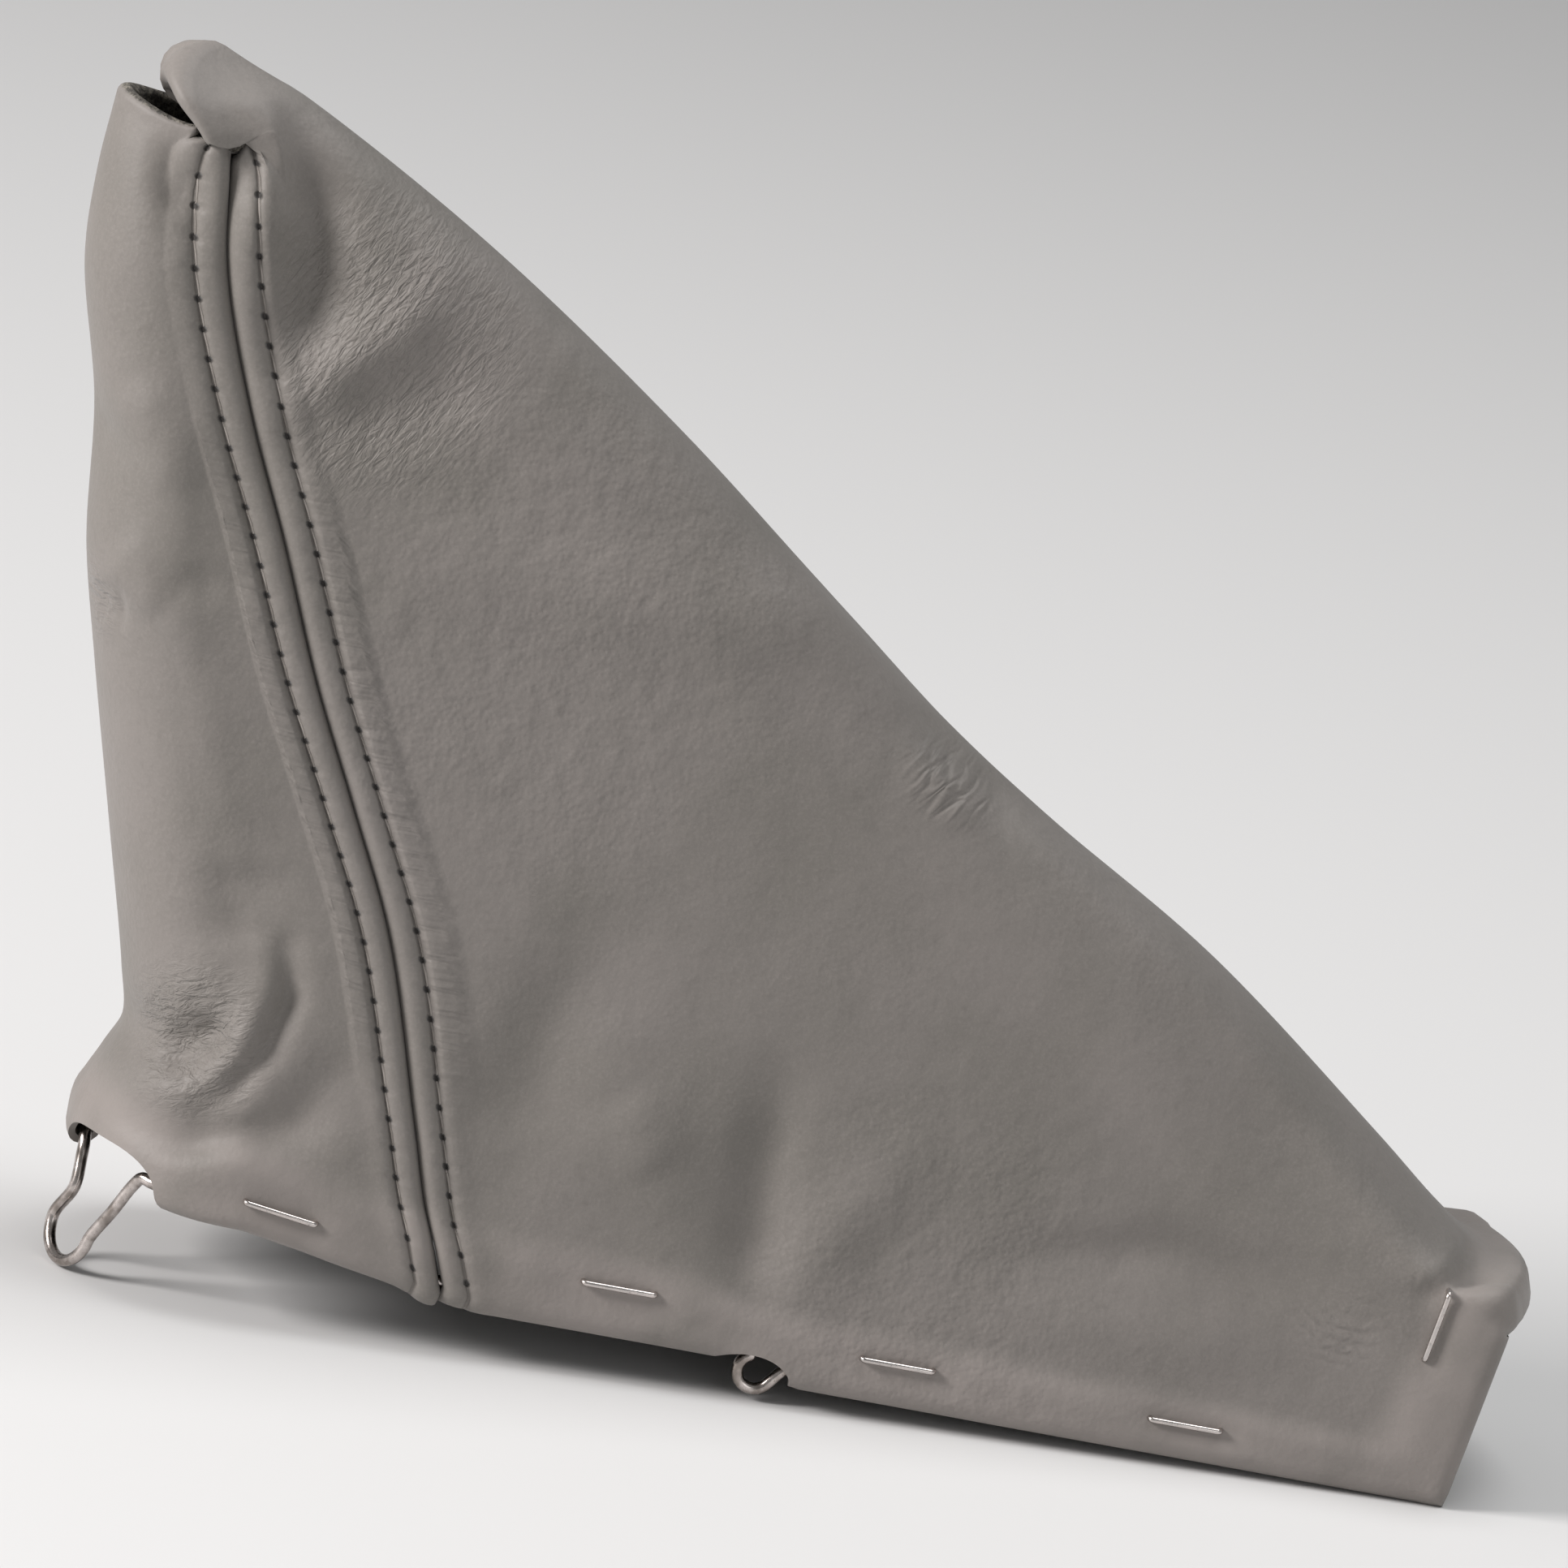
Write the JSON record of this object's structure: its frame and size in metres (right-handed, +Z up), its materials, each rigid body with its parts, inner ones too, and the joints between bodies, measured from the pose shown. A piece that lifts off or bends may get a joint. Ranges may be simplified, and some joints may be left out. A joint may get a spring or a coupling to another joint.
{
  "type": "handbrake boot",
  "caption": "Wedge-shaped leather gaiter for a handbrake lever, sewn from panels, with a stapled hem folded round a bent wire frame.",
  "frame": {"origin": "bottom centre of the bounding box, on the plane that the front hem corners rest on", "axes": "+X along the boot to its low front end, +Y across it to the far side, +Z up towards the lever opening"},
  "size_m": [0.2602, 0.0622, 0.1982],
  "materials": {
    "leather": "grained grey-taupe leather, soft sheen",
    "frame_wire": "drawn steel wire, bright with brownish tarnish",
    "staple_wire": "bright galvanised wire"
  },
  "bodies": {
    "root": {"main_panel": "leather", "back_panel": "leather", "wire_frame": "frame_wire", "staple_near_1": "staple_wire", "staple_near_2": "staple_wire", "staple_near_3": "staple_wire", "staple_near_4": "staple_wire", "staple_near_5": "staple_wire", "staple_far_1": "staple_wire", "staple_far_2": "staple_wire", "staple_far_3": "staple_wire", "staple_far_4": "staple_wire", "staple_far_5": "staple_wire", "staple_far_6": "staple_wire"}
  },
  "joints": []
}
